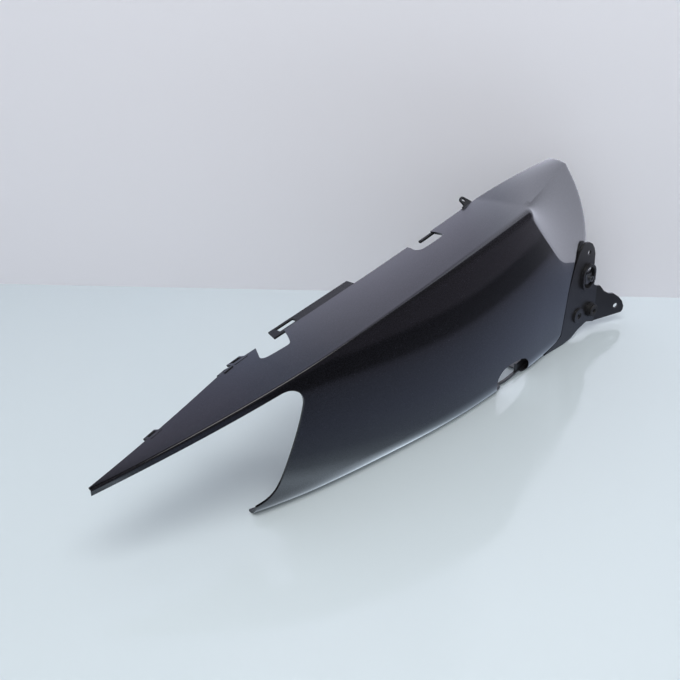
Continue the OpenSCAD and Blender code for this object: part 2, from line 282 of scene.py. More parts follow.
    def arm_edge(self, x):
        return self.crease_z(x) - mix(self.strip_tip, self.strip_root, x / self.root_x)

    def strip_z(self, x):
        u = (x - self.root_c[0]) / self.root_r
        if u < self.ARC_START:
            return self.arm_edge(x)
        arc = self.root_c[1] + self.root_r * math.sqrt(1 - min(1, u * u))
        return min(self.arm_edge(x), arc)

    def sweep(self, i):
        x = self.row_x(i) if i <= self.APEX else self.crease_len
        return 1 - smooth((x - self.root_station) / self.FADE_RUN)

    def line_strip(self, i):
        crease = self.line_crease(i)
        if i <= self.ROOT:
            z = self.strip_z(crease.x)
        else:
            share = max(self.STRIP_LEFT, 1 - clamp01(self.rear_t(i)))
            z = crease.z - (self.root_drop - self.crease_r(crease.x)) * share
        return Vector((crease.x, self.side_y(crease.x, z), z))

    def lean(self, i, z):
        w = clamp01(1 - z / self.root_c[1])
        reach = self.wall_lean * (w ** self.WALL_CURVE + self.SPIKE_GAIN * w ** self.SPIKE_CURVE)
        return -self.sweep(i) * min(self.spike_reach, reach)

    def round_in(self, i, z):
        v = min(clamp01((z - self.root_c[1]) / self.root_r), math.sqrt(0.5))
        return self.sweep(i) * (self.root_cut - self.root_r * (1 - math.sqrt(1 - v * v)))

    def heel(self, i, w):
        if i <= self.APEX:
            return 0.0
        return self.rear_t(i) * (self.HEEL_X - self.FACET_LOW.x) * w * (1 + w) / 2

    def side_pt(self, i, w):
        s = self.line_strip(i)
        z = mix(s.z, self.roll_h, (1 - math.cos(math.pi * w)) / 2)
        x = s.x + self.lean(i, z) + self.round_in(i, z) + self.heel(i, w)
        return Vector((x, self.side_y(x, z), z))

    def roll_pt(self, i, v):
        z = self.roll_h * (1 - math.sin(math.pi / 2 * v))
        x = self.line_strip(i).x + self.lean(i, z) + self.round_in(i, z) + self.heel(i, 1)
        x -= self.ROLL_BACK * v * v * max(0.0, self.rear_t(i))
        depth = self.roll_d * self.tuck(x) * (1 - math.cos(math.pi / 2 * v))
        y = self.side_y(x, self.roll_h) + depth
        return Vector((x, y, z))

    def face_pt(self, i, j):
        """Point of the outer face at row i and column j."""
        if j <= self.RIDGE:
            t = j / self.RIDGE
            crown = self.CROWN * t * (1 - t) * clamp01(i / self.ROOT)
            return mix(self.line_top(i), self.line_ridge(i), t) + Vector((0, 0, crown))
        if j <= self.CREASE:
            t = (j - self.RIDGE) / (self.CREASE - self.RIDGE)
            return bezier(self.line_ridge(i), self.line_pull(i), self.line_crease(i), t)
        if j <= self.STRIP:
            t = (j - self.CREASE) / (self.STRIP - self.CREASE)
            return mix(self.line_crease(i), self.line_strip(i), t)
        if j <= self.SIDE:
            return self.side_pt(i, (j - self.STRIP) / (self.SIDE - self.STRIP))
        if j <= self.ROLL:
            return self.roll_pt(i, (j - self.SIDE) / (self.ROLL - self.SIDE))
        width = self.flange_w * max(self.FLANGE_LEFT, 1 - self.sweep(i)) * (j - self.ROLL)
        return self.roll_pt(i, 1) + Vector((0, width, 0))

    def point(self, i, j):
        """As face_pt, with the rows past REAR folded inward round the rear edge."""
        if i <= self.REAR:
            return self.face_pt(i, j)
        edge = self.face_pt(self.REAR, j)
        back = (edge - self.face_pt(self.REAR - 1, j)).normalized()
        below = self.face_pt(self.REAR, min(j + 1, self.FLANGE))
        down = below - self.face_pt(self.REAR, max(j - 1, 0))
        inward = back.cross(down).normalized()
        turn = min(i - self.REAR, 1.0) * math.pi / 2
        straight = max(0.0, i - self.REAR - 1) * (self.FOLD_D - self.FOLD_R)
        along = self.FOLD_R * math.sin(turn)
        depth = self.FOLD_R * (1 - math.cos(turn)) + straight
        return edge + back * along + inward * depth

    def edge_frame(self, x):
        """Frame on the top face's inner edge: X follows it, Y runs inboard."""
        along = self.top_pt(x + self.HALF_SPAN) - self.top_pt(x - self.HALF_SPAN)
        return (Matrix.Translation(self.top_pt(x))
                @ Matrix.Rotation(math.atan2(along.y, along.x), 4, "Z")
                @ Matrix.Rotation(-math.asin(along.z / along.length), 4, "Y")
                @ Matrix.Rotation(-math.atan(self.top_fall), 4, "X"))


def spread(stops, counts):
    """Even steps between each two stops, with the last stop."""
    spans = zip(stops, stops[1:], counts)
    return [mix(a, b, k / count) for a, b, count in spans for k in range(count)] + [stops[-1]]


def lay_grid(bm, rows, columns, place):
    """Lays a grid over a surface; place gives the point at a row and column."""
    grid = bmesh.ops.create_grid(bm, x_segments=len(rows) - 1, y_segments=len(columns) - 1,
                                 size=0.5)
    unused = []
    for vert in grid["verts"]:
        i = rows[round((vert.co.x + 0.5) * (len(rows) - 1))]
        j = columns[round((vert.co.y + 0.5) * (len(columns) - 1))]
        point = place(i, j)
        if point is None:
            unused.append(vert)
        else:
            vert.co = point
    bmesh.ops.delete(bm, geom=unused, context="VERTS")


def rounded(outline):
    """Cuts each corner of an outline once."""
    pairs = zip(outline, outline[1:] + outline[:1])
    return [p for a, b in pairs for p in (a.lerp(b, 0.25), a.lerp(b, 0.75))]


def inside(outline, p):
    hit = False
    for a, b in zip(outline, outline[1:] + outline[:1]):
        if (a.y > p.y) != (b.y > p.y) and p.x < mix(a.x, b.x, (p.y - a.y) / (b.y - a.y)):
            hit = not hit
    return hit


# How far beside its outline a cut reaches, and how near a point counts as on the cut
CUT_REACH, ON_CUT = 6.0, 0.0005


def cut_notch(bm, outline, axis, z_range):
    """Cuts a notch: its outline, seen along axis (Y or Z), goes right through."""
    flat = (lambda p: Vector((p.x, p.y))) if axis.z else (lambda p: Vector((p.x, p.z)))
    deep = (lambda p: Vector((p.x, p.y, 0))) if axis.z else (lambda p: Vector((p.x, 0, p.y)))
    low, high = z_range

    def faces_where(test):
        """Faces in the height range whose middle, seen along the axis, passes a test."""
        found = []
        for face in bm.faces:
            middle = face.calc_center_median()
            if low < middle.z < high and test(flat(middle)):
                found.append(face)
        return found

    for a, b in zip(outline, outline[1:] + outline[:1]):
        def beside(p):
            t = clamp01((p - a).dot(b - a) / (b - a).length_squared)
            return (p - a.lerp(b, t)).length < CUT_REACH

        faces = faces_where(beside)
        parts = {e for f in faces for e in f.edges} | {v for f in faces for v in f.verts}
        normal = deep(b - a).cross(axis).normalized()
        bmesh.ops.bisect_plane(bm, geom=faces + list(parts), plane_co=deep(a), plane_no=normal,
                               dist=ON_CUT)
    gone = faces_where(lambda p: inside(outline, p))
    bmesh.ops.delete(bm, geom=gone, context="FACES")


def outline_of(*points):
    return [Vector(p) for p in points]


FRONT_NOTCH = outline_of((220, 60), (208.2, 34), (203.8, 25), (203.2, 21.5), (205.2, 18.3),
                         (210, 16.6), (230, 14.4), (233.5, 15.2), (236, 18), (243.5, 33.4),
                         (254, 60))
REAR_NOTCH = outline_of((424, 80), (422, 57), (419, 46), (420.5, 39.5), (425, 37), (456, 41),
                        (459, 44), (460, 80))
LOW_NOTCH = outline_of((509, -1), (502, 10), (501, 20), (506, 26), (513, 30.4), (525, 31),
                       (536, 30), (548, 28), (558, 24), (564, 18), (568, 11), (572, -1))
# Each notch with the axis it is cut along and the heights it is cut between
NOTCHES = ((FRONT_NOTCH, (0, 0, 1), (100, 220)), (REAR_NOTCH, (0, 0, 1), (150, 240)),
           (LOW_NOTCH, (0, 1, 0), (-5, 60)))
# Points of the shell nearer than this are made one
SHELL_MERGE = 0.08

# Plates and rings of the black fittings

def ring_of(bm, centre, radius, half_straight=0.0, count=32):
    """A closed ring of edges: a circle, or an oval with straight upright sides."""
    made = bmesh.ops.create_circle(bm, cap_ends=False, segments=count, radius=radius)["verts"]
    for vert in made:
        vert.co.y += half_straight * (1 if vert.co.y >= 0 else -1)
        vert.co += Vector((*centre, 0))
    return list({e for v in made for e in v.link_edges})


def inner_ring(bm, edges, centre, radius, width, half_straight):
    """Lays a flat band inward from a ring of edges and returns its faces."""
    made = bmesh.ops.extrude_edge_only(bm, edges=edges)["geom"]
    for vert in (g for g in made if isinstance(g, bmesh.types.BMVert)):
        offset = vert.co.xy - Vector(centre)
        straight = Vector((0, half_straight * (1 if offset.y >= 0 else -1)))
        offset = (offset - straight) * radius / (radius + width) + straight
        vert.co.xy = Vector(centre) + offset
    return [g for g in made if isinstance(g, bmesh.types.BMFace)]


def loop_of(bm, outline):
    """A closed ring of edges through the points of an outline."""
    verts = [bm.verts.new((p[0], p[1], 0)) for p in outline]
    return [bm.edges.new(pair) for pair in zip(verts, verts[1:] + verts[:1])]


def rectangle(x0, y0, x1, y1):
    return [(x0, y0), (x1, y0), (x1, y1), (x0, y1)]


def added(bm, known):
    return [v for v in bm.verts if v not in known]


def faces_of(verts):
    return list({f for v in verts for f in v.link_faces})


def raise_faces(bm, faces, height):
    """Extrudes faces along Z and returns the moved faces."""
    edges = list({e for f in faces for e in f.edges})
    made = bmesh.ops.extrude_face_region(bm, geom=faces + edges)["geom"]
    bmesh.ops.translate(bm, vec=(0, 0, height),
                        verts=[g for g in made if isinstance(g, bmesh.types.BMVert)])
    return [g for g in made if isinstance(g, bmesh.types.BMFace)]


def plate(bm, outline, thickness, place, holes=(), cutouts=(), bosses=(), bend=None):
    """Adds a flat plate with round or oval holes, straight cut-outs and raised rings.

    A hole is (centre, radius, half_straight); a boss is (hole, ring width, height).
    """
    known = set(bm.verts)
    sheet = loop_of(bm, outline)
    for cutout in cutouts:
        sheet += loop_of(bm, cutout)
    for hole in holes:
        sheet += ring_of(bm, *hole)
    outers = [ring_of(bm, centre, radius + width, half) for (centre, radius, half), width, _ in bosses]
    for outer in outers:
        sheet += outer
    bmesh.ops.triangle_fill(bm, use_beauty=True, edges=sheet, normal=(0, 0, 1))
    bands = []
    for outer, ((centre, radius, half), width, height) in zip(outers, bosses):
        band = inner_ring(bm, outer, centre, radius, width, half)
        bands.append(([f.calc_center_median().xy for f in band], height))
    tops = raise_faces(bm, faces_of(added(bm, known)), thickness)
    for centres, height in bands:
        crown = [f for f in tops if f.is_valid
                 and any((f.calc_center_median().xy - c).length < 1e-3 for c in centres)]
        raise_faces(bm, crown, height)
    if bend:
        bend(bm)
    mine = added(bm, known)
    bmesh.ops.transform(bm, matrix=place, verts=mine)
    bmesh.ops.recalc_face_normals(bm, faces=faces_of(mine))


def block(bm, low, high, place):
    """Adds a rectangular bar between two corners."""
    low, high = Vector(low), Vector(high)
    made = bmesh.ops.create_cube(bm, size=1.0)["verts"]
    bmesh.ops.scale(bm, vec=high - low, verts=made)
    bmesh.ops.translate(bm, vec=(low + high) / 2, verts=made)
    bmesh.ops.transform(bm, matrix=place, verts=made)


def arc(centre, radius, start, stop, count):
    """Points of an arc, angles in degrees."""
    return [(centre[0] + radius * math.cos(math.radians(mix(start, stop, k / count))),
             centre[1] + radius * math.sin(math.radians(mix(start, stop, k / count))))
            for k in range(count + 1)]


def finish_piece(bm, name, materials, edge_round, nodes, wall=None, angle=35):
    """Makes the object, smooths it and seats it on the frame."""
    bmesh.ops.transform(bm, matrix=TO_ROW, verts=bm.verts)
    mesh = bpy.data.meshes.new(name)
    for face in bm.faces:
        face.smooth = True
    bm.to_mesh(mesh)
    bm.free()
    piece = bpy.data.objects.new(name, mesh)
    bpy.context.scene.collection.objects.link(piece)
    for material in materials:
        mesh.materials.append(material)
    if wall:
        shell = piece.modifiers.new("Wall", "SOLIDIFY")
        shell.thickness = wall
        shell.offset = -1.0
        shell.use_quality_normals = True
        shell.material_offset = 1
    bevel = piece.modifiers.new("Moulded edges", "BEVEL")
    bevel.width = edge_round
    bevel.segments = 2
    bevel.limit_method = "ANGLE"
    bevel.angle_limit = math.radians(angle)
    bevel.harden_normals = True
    if not wall:
        even = piece.modifiers.new("Even shading", "WEIGHTED_NORMAL")
        even.keep_sharp = True
    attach(piece, "root")
    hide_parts(*nodes)


# Materials

def feed(tree, socket, value):
    """Links a socket to another one, or sets its plain value."""
    if isinstance(value, bpy.types.NodeSocket):
        tree.links.new(value, socket)
    else:
        socket.default_value = value


def add_node(tree, kind, at, **values):
    """Adds a node with its inputs, as sockets or plain values, and its settings."""
    node = tree.nodes.new(kind)
    node.location = at
    for key, value in values.items():
        if key in node.inputs:
            feed(tree, node.inputs[key], value)
        else:
            setattr(node, key, value)
    return node


def new_group(name, inputs, output):
    """A shader node group with named float inputs and one output, as (group, inputs, end)."""
    group = bpy.data.node_groups.new(name, "ShaderNodeTree")
    for label, value in inputs.items():
        socket = group.interface.new_socket(name=label, in_out="INPUT", socket_type="NodeSocketFloat")
        socket.default_value = value
    group.interface.new_socket(name=output, in_out="OUTPUT", socket_type="NodeSocketFloat")
    return (group, add_node(group, "NodeGroupInput", (-900, 0)).outputs,
            add_node(group, "NodeGroupOutput", (700, 0)).inputs[output])


def object_coords(tree, at):
    return add_node(tree, "ShaderNodeTexCoord", at).outputs["Object"]


def noise(tree, at, coords, scale, detail, roughness=0.5):
    return add_node(tree, "ShaderNodeTexNoise", at, Vector=coords, Scale=scale, Detail=detail,
                    Roughness=roughness).outputs["Fac"]


def combine(tree, at, operation, a, b, use_clamp=False):
    """Result of a math node; each side may be a socket or a plain value."""
    node = add_node(tree, "ShaderNodeMath", at, operation=operation, use_clamp=use_clamp)
    feed(tree, node.inputs[0], a)
    feed(tree, node.inputs[1], b)
    return node.outputs[0]


def value_range(tree, at, value, start=0.0, stop=1.0, low=0.0, high=1.0):
    """Maps a value between start and stop to the range from low to high."""
    return add_node(tree, "ShaderNodeMapRange", at, **{
        "Value": value, "From Min": start, "From Max": stop, "To Min": low,
        "To Max": high}).outputs["Result"]


def colour_mix(tree, at, factor, a, b):
    """Mixes two colours by a factor; each may be a socket or plain values."""
    node = add_node(tree, "ShaderNodeMix", at, data_type="RGBA")
    tree.links.new(factor, node.inputs[0])
    for socket, value in ((node.inputs[6], a), (node.inputs[7], b)):
        plain = not isinstance(value, bpy.types.NodeSocket)
        feed(tree, socket, (*value, 1.0) if plain else value)
    return node.outputs[2]


def dust_group():
    """Fine dust that lies on faces that look up, in soft patches and specks."""
    if "fine_dust" in bpy.data.node_groups:
        return bpy.data.node_groups["fine_dust"]
    group, given, end = new_group("fine_dust", {"Amount": 0.4, "Speck Scale": 900.0}, "Dust")
    coords = object_coords(group, (-900, -300))
    shape = add_node(group, "ShaderNodeNewGeometry", (-900, -600))
    split = add_node(group, "ShaderNodeSeparateXYZ", (-700, -600), Vector=shape.outputs["Normal"])
    up = value_range(group, (-500, -600), split.outputs["Z"], 0.1, 0.95)
    patches = noise(group, (-700, 0), coords, 9.0, 4.0)
    soft = value_range(group, (-500, 0), patches, 0.42, 0.75)
    specks = noise(group, (-700, -280), coords, given["Speck Scale"], 1.0)
    sharp = value_range(group, (-500, -280), specks, 0.66, 0.78)
    film = combine(group, (-300, 0), "MULTIPLY", soft, 0.35)
    both = combine(group, (-100, -100), "MAXIMUM", film, sharp)
    lying = combine(group, (100, -200), "MULTIPLY", both, up)
    group.links.new(combine(group, (300, -100), "MULTIPLY", lying, given["Amount"], True), end)
    return group


def grain_group():
    """Height of a fine moulded or sprayed surface over a slow waviness."""
    if "surface_grain" in bpy.data.node_groups:
        return bpy.data.node_groups["surface_grain"]
    group, given, end = new_group("surface_grain", {"Grain Scale": 1200.0, "Wave Scale": 120.0,
                                                    "Wave Share": 0.5}, "Height")
    coords = object_coords(group, (-900, -300))
    fine = noise(group, (-600, 0), coords, given["Grain Scale"], 3.0)
    wave = noise(group, (-600, -300), coords, given["Wave Scale"], 1.0)
    blend = add_node(group, "ShaderNodeMix", (-200, 0), data_type="FLOAT",
                     Factor=given["Wave Share"], A=fine, B=wave)
    group.links.new(blend.outputs["Result"], end)
    return group


def blank_material(name, rgb=None, **values):
    """A material with its Principled shader, as (material, tree, shader)."""
    material = bpy.data.materials.new(name)
    material.use_nodes = True
    shader = material.node_tree.nodes["Principled BSDF"]
    if rgb:
        shader.inputs["Base Color"].default_value = (*rgb, 1.0)
    for label, value in values.items():
        shader.inputs[label.replace("_", " ")].default_value = value
    return material, material.node_tree, shader


def bump(tree, shader, strength, distance, **grain):
    """Feeds the shared grain through a Bump node to the shader's normal."""
    group = add_node(tree, "ShaderNodeGroup", (-500, -500), node_tree=grain_group())
    for label, value in grain.items():
        group.inputs[label.replace("_", " ")].default_value = value
    node = add_node(tree, "ShaderNodeBump", (-250, -500), Strength=strength, Distance=distance,
                    Height=group.outputs["Height"])
    tree.links.new(node.outputs["Normal"], shader.inputs["Normal"])


# Colour and roughness where the dust lies thick
DUST_RGB, DUST_ROUGHNESS = (0.30, 0.30, 0.29), 0.85


def dusted(tree, shader, amount, ground, roughness):
    """Lays the shared dust over a ground colour and its roughness."""
    group = add_node(tree, "ShaderNodeGroup", (-500, -150), node_tree=dust_group())
    group.inputs["Amount"].default_value = amount
    mask = group.outputs["Dust"]
    shade = colour_mix(tree, (-250, -150), mask, ground, DUST_RGB)
    tree.links.new(shade, shader.inputs["Base Color"])
    rough = value_range(tree, (-250, -350), mask, low=roughness, high=DUST_ROUGHNESS)
    tree.links.new(rough, shader.inputs["Roughness"])


def cloudy(tree, scale, detail, dark, light):
    """Two tones in soft clouds."""
    cloud = noise(tree, (-1100, 100), object_coords(tree, (-1300, 0)), scale, detail)
    return colour_mix(tree, (-800, 100), cloud, dark, light)


def panel_paint(finish):
    """Dark metallic paint under a gloss clear coat."""
    material, tree, shader = blank_material(
        "gloss_dark_paint", Metallic=0.5, Specular_IOR_Level=0.1, Coat_Weight=1.0,
        Coat_Roughness=0.03, Coat_IOR=1.5)
    flakes = add_node(tree, "ShaderNodeTexVoronoi", (-1100, 100), Scale=2200.0,
                      Vector=object_coords(tree, (-1300, 0)))
    tint = add_node(tree, "ShaderNodeSeparateColor", (-900, 100), Color=flakes.outputs["Color"])
    few = value_range(tree, (-700, 100), tint.outputs["Red"], 0.45, 1.0)
    ground = colour_mix(tree, (-500, 100), few, finish.paint, finish.flake)
    dusted(tree, shader, finish.dust, ground, 0.36)
    bump(tree, shader, 0.03, 0.0001, Grain_Scale=700.0, Wave_Scale=90.0, Wave_Share=0.8)
    return material


def bare_plastic(finish, name="satin_black_plastic", roughness=0.34, mirror=0.5):
    """Black unpainted moulding, satin or polished by its tool; a mirror below the default turns its
    reflection down, as painted shade.
    """
    if name in bpy.data.materials:
        return bpy.data.materials[name]
    material, tree, shader = blank_material(name, Specular_IOR_Level=mirror)
    lighter = [min(1.0, c * 1.8 + 0.004) for c in finish.plastic]
    dusted(tree, shader, finish.dust * 0.8, cloudy(tree, 35.0, 5.0, finish.plastic, lighter),
           roughness)
    bump(tree, shader, 0.22, 0.0002, Grain_Scale=1500.0, Wave_Scale=140.0, Wave_Share=0.35)
    return material


def spring_steel(finish):
    """Dark plated spring steel with fine drawn scratches."""
    material, tree, shader = blank_material("plated_spring_steel", Metallic=0.9)
    stretch = add_node(tree, "ShaderNodeMapping", (-1100, 0), Scale=(40.0, 40.0, 900.0),
                       Vector=object_coords(tree, (-1300, 0)))
    lines = noise(tree, (-900, 0), stretch.outputs["Vector"], 3.0, 6.0, 0.65)
    darker = [c * 0.55 for c in finish.steel]
    ground = colour_mix(tree, (-600, 100), lines, darker, finish.steel)
    dusted(tree, shader, finish.dust * 0.5, ground, 0.38)
    bump(tree, shader, 0.12, 0.0001, Grain_Scale=2500.0, Wave_Scale=300.0, Wave_Share=0.3)
    return material


def nut_rubber(finish):
    """Matt black rubber with a fine grain."""
    material, tree, shader = blank_material("matt_black_rubber")
    lighter = [min(1.0, c * 2.0) for c in finish.rubber]
    dusted(tree, shader, finish.dust, cloudy(tree, 120.0, 4.0, finish.rubber, lighter), 0.62)
    bump(tree, shader, 0.35, 0.0002, Grain_Scale=1800.0, Wave_Scale=200.0, Wave_Share=0.3)
    return material


# Operators

class SIDEPANEL_OT_shell(bpy.types.Operator):
    """Build the painted shell with its notches and rolled edge"""
    bl_idname = "sidepanel.shell"
    bl_label = "Painted Shell"

    def execute(self, context):
        sizes, finish = context.scene.panel_shell, context.scene.panel_finish
        form = ShellForm(sizes)
        rows = spread((0, form.ROOT, form.APEX, form.REAR, form.REAR + 1, form.REAR + 2),
                      (48, 78, 30, 5, 3))
        columns = spread((0, form.RIDGE, form.CREASE, form.STRIP, form.SIDE, form.ROLL,
                          form.FLANGE), (10, 14, 4, 30, 14, 3))

        def place(i, j):
            if (i < form.ROOT and j > form.STRIP) or (i > form.REAR and j > form.ROLL):
                return None
            return form.point(i, j)

        bm = bmesh.new()
        lay_grid(bm, rows, columns, place)
        # The middle of the side face has to look outboard, to -Y
        side = [f for f in bm.faces if abs(f.normal.y) > 0.8 and 300 < f.calc_center_median().x < 500]
        if sum(f.normal.y for f in side) > 0:
            bmesh.ops.reverse_faces(bm, faces=bm.faces)
        for outline, axis, z_range in NOTCHES:
            cut_notch(bm, rounded(outline), Vector(axis), z_range)
        bmesh.ops.remove_doubles(bm, verts=bm.verts, dist=SHELL_MERGE)
        finish_piece(bm, "shell", [panel_paint(finish), bare_plastic(finish)], sizes.edge_round,
                     ["side_panel"], sizes.wall, 50)
        return {"FINISHED"}


# Step flange: place along the crease, length, thickness and drop under the shell's wall
FLANGE_AT, FLANGE_LENGTH, FLANGE_T, FLANGE_DROP = 289.5, 111.815, 2.2, 1.2
FLANGE_OUTLINE = [(0, 0), (16, 0), (16, -5), (FLANGE_LENGTH, -5), (FLANGE_LENGTH, 17), (4.24, 17)]
FLANGE_SLOT = rectangle(11.5, 5, 33.5, 13.5)
# Clip loops: place along the crease, width, reach and downward tilt in degrees; then
# thickness, rim, hidden root and drop under the shell's wall
CLIP_LOOPS = (78, 15, 12, 18), (176, 12, 13, 27), (193, 17, 15, 18)
LOOP_T, LOOP_RIM, LOOP_ROOT, LOOP_DROP = 2.4, 3, 5, 0.5
# Finger in the rear notch, and the screw lug with its upward tilt in degrees
FINGER_AT, FINGER_DROP = 458, 1
LUG_AT, LUG_TILT, LUG_DROP = 529, 39, 0.4
LUG_OUTLINE = ([(-7, -5), (7, -5), (6.5, 2)] + arc((0, 8), 4.6, 0, 180, 12)
               + [(-6, 2), (-10, 2), (-10, -1), (-7, -1)])
LUG_HOLE = (0, 7.5)


class SIDEPANEL_OT_edge_fittings(bpy.types.Operator):
    """Build the step flange, finger, clip loops and screw lug of the inner edge"""
    bl_idname = "sidepanel.edge_fittings"
    bl_label = "Inner Edge Fittings"

    def execute(self, context):
        sizes, finish = context.scene.panel_fittings, context.scene.panel_finish
        form = ShellForm(context.scene.panel_shell)
        wall, tab = form.wall, millimetres(sizes.tab_t)
        bm = bmesh.new()

        under = -wall - FLANGE_DROP
        at = form.edge_frame(FLANGE_AT) @ Matrix.Translation((-FLANGE_LENGTH / 2, 0, under))
        plate(bm, FLANGE_OUTLINE, FLANGE_T, at, cutouts=[FLANGE_SLOT])

        under = -wall - FINGER_DROP
        block(bm, (-20, -4, under), (10, -0.6, tab + under), form.edge_frame(FINGER_AT))

        for x, width, reach, tilt in CLIP_LOOPS:
            at = (form.edge_frame(x) @ Matrix.Rotation(math.radians(-tilt), 4, "X")
                  @ Matrix.Translation((-width / 2, -LOOP_ROOT, -wall - LOOP_DROP)))
            top = reach + LOOP_ROOT
            plate(bm, rectangle(0, 0, width, top), LOOP_T, at,
                  cutouts=[rectangle(LOOP_RIM, 6.5, width - LOOP_RIM, top - LOOP_RIM)])

        lug = (form.edge_frame(LUG_AT) @ Matrix.Rotation(math.radians(LUG_TILT), 4, "X")
               @ Matrix.Translation((0, 0, -tab - LUG_DROP)))
        plate(bm, LUG_OUTLINE, tab, lug, holes=[(LUG_HOLE, millimetres(sizes.lug_bore) / 2, 0)])
        # Polished black plastic, partly real; its reflection is turned down as painted shade for the
        # flange's tilted faces
        plastic = bare_plastic(finish, "dimmed_reflection_black_plastic", 0.2, 0.14)
        finish_piece(bm, "edge_fittings", [plastic], sizes.edge_round, ["side_panel"])
        return {"FINISHED"}


# Finger behind the low notch and the web beside it as outlines in plan, and their heights
LOW_FINGER = [(518, 4.6), (530, 5.4), (549, 10), (564, 15.2), (590, 22.5), (590, 27),
              (564, 19.5), (549, 14), (530, 8.8), (518, 7.2)]
LOW_WEB = [(553, 12.6), (566, 17), (586, 22.5), (585, 25.4), (565, 19.8), (552, 15)]
LOW_FINGER_T, LOW_WEB_HEIGHT = 3, 12.9
# Resting flaps: both ends along the edge, depth from and to, thickness
FLAPS = (388, 465), (560, 630)
FLAP_FROM, FLAP_TO, FLAP_T = 4, 26, 2.1
# Height of the flaps and the web above the floor
CLEAR = 0.1


class SIDEPANEL_OT_low_fittings(bpy.types.Operator):
    """Build the finger, web and resting flaps of the lower edge"""
    bl_idname = "sidepanel.low_fittings"
    bl_label = "Lower Edge Fittings"

    def execute(self, context):
        sizes, finish = context.scene.panel_fittings, context.scene.panel_finish
        form = ShellForm(context.scene.panel_shell)
        bm = bmesh.new()
        plate(bm, LOW_FINGER, LOW_FINGER_T, Matrix.Identity(4))
        plate(bm, LOW_WEB, LOW_WEB_HEIGHT, Matrix.Translation((0, 0, CLEAR)))
        for x0, x1 in FLAPS:
            middle, half = (x0 + x1) / 2, (x1 - x0) / 2
            rise = form.side_y(x1, form.roll_h) - form.side_y(x0, form.roll_h)
            y = form.side_y(middle, form.roll_h) + form.roll_d * form.tuck(middle)
            at = (Matrix.Translation((middle, y, CLEAR))
                  @ Matrix.Rotation(math.atan2(rise, x1 - x0), 4, "Z"))
            block(bm, (-half, FLAP_FROM, 0), (half, FLAP_TO, FLAP_T), at)
        finish_piece(bm, "low_fittings", [bare_plastic(finish)], sizes.edge_round, ["side_panel"])
        return {"FINISHED"}


# Frame of the rear bracket: X along the plate, Y up, Z outboard
ON_BRACKET = (Matrix.Translation((605, 22.8, 0)) @ Matrix.Rotation(math.radians(8), 4, "Z")
              @ Matrix.Rotation(math.radians(90), 4, "X"))


def on_bracket(spot, height=0):
    return ON_BRACKET @ Matrix.Translation((*spot, height))


EAR_AT, BOSS_AT, HUB_AT, WINDOW_AT = (80, 111), (68, 30.5), (92.5, 30), (81, 78.5)
CLIP_AT, CLIP_HOLE_R = (85, 75.5), 3.25
TAIL_AT, BEND_AT, BEND_STEPS = (31, 24), 105, 6
BRACKET_OUTLINE = [(4, 0.4), (42, 0.4), (58, 3), (71, 9.5), (88, 14), (103, 9.2), (145, 13),
                   (147.5, 16), (148, 21), (145, 29), (139, 36), (131, 42), (124, 43.5),
                   (117, 48), (110, 57), (104, 58), (98, 62), (94, 86), (93, 106), (90, 114),
                   (85, 121), (78, 125.5), (72, 127), (66, 125), (60, 118), (52, 100),
                   (44, 70), (40, 40), (36, 14), (20, 6)]
# Raised rings: hole with its radius and half its straight side, ring width, height
BRACKET_RINGS = [((BOSS_AT, 4.0, 0), 5.5, 2.4), ((HUB_AT, 5.5, 0), 3.5, 5.4),
                 ((WINDOW_AT, 10.0, 4.0), 3.0, 3.4)]
# Tongue in the window, from the window's centre, and how far it lies inside both faces
TONGUE = ([(-1.5, -14.9), (3, -14.6)] + arc((0, -4), 11, -70, 0, 8)
          + [(11, 4), (11, 7), (-1.5, 7)])
TONGUE_INSET = 0.05


class SIDEPANEL_OT_rear_bracket(bpy.types.Operator):
    """Build the rear bracket with its ears, boss, hub and oval window"""
    bl_idname = "sidepanel.rear_bracket"
    bl_label = "Rear Bracket"

    def execute(self, context):
        sizes, finish = context.scene.panel_fittings, context.scene.panel_finish
        tab, radius = millimetres(sizes.tab_t), millimetres(sizes.bend_r)
        bore = millimetres(sizes.ear_bore) / 2
        angle = sizes.bend_angle
        start = BEND_AT - radius * math.tan(angle / 2)

        def bend(bm):
            """Tips everything past the bend line outboard round an arc."""
            for k in range(BEND_STEPS + 1):
                line = start + radius * angle * k / BEND_STEPS
                bmesh.ops.bisect_plane(bm, geom=[*bm.verts, *bm.edges, *bm.faces], dist=ON_CUT,
                                       plane_no=(1, 0, 0), plane_co=(line, 0, 0))
            for vert in bm.verts:
                past = vert.co.x - start
                if past > 0:
                    turn = min(past / radius, angle)
                    rest = past - radius * turn
                    inner = radius - vert.co.z
                    vert.co.x = start + inner * math.sin(turn) + rest * math.cos(turn)
                    vert.co.z = radius - inner * math.cos(turn) + rest * math.sin(turn)

        bm = bmesh.new()
        plate(bm, BRACKET_OUTLINE, tab, ON_BRACKET,
              holes=[(EAR_AT, bore, 0), ((BEND_AT + TAIL_AT[0], TAIL_AT[1]), bore, 0)],
              bosses=BRACKET_RINGS, bend=bend)
        plate(bm, TONGUE, tab - 2 * TONGUE_INSET, on_bracket(WINDOW_AT, TONGUE_INSET),
              holes=[(Vector(CLIP_AT) - Vector(WINDOW_AT), CLIP_HOLE_R, 0)])
        finish_piece(bm, "rear_bracket", [bare_plastic(finish)], sizes.edge_round, ["side_panel"])
        return {"FINISHED"}


# Clip nut: thickness of a leaf, distance from its bore to the fold's outside, wall and
# height of the collar, rounding of its edges in metres
LEAF, FOLD_AT, COLLAR_WALL, COLLAR_HEIGHT, LEAF_ROUND = 0.8, -6.8, 1.1, 3.6, 0.00015
FOLD_STEPS = 12


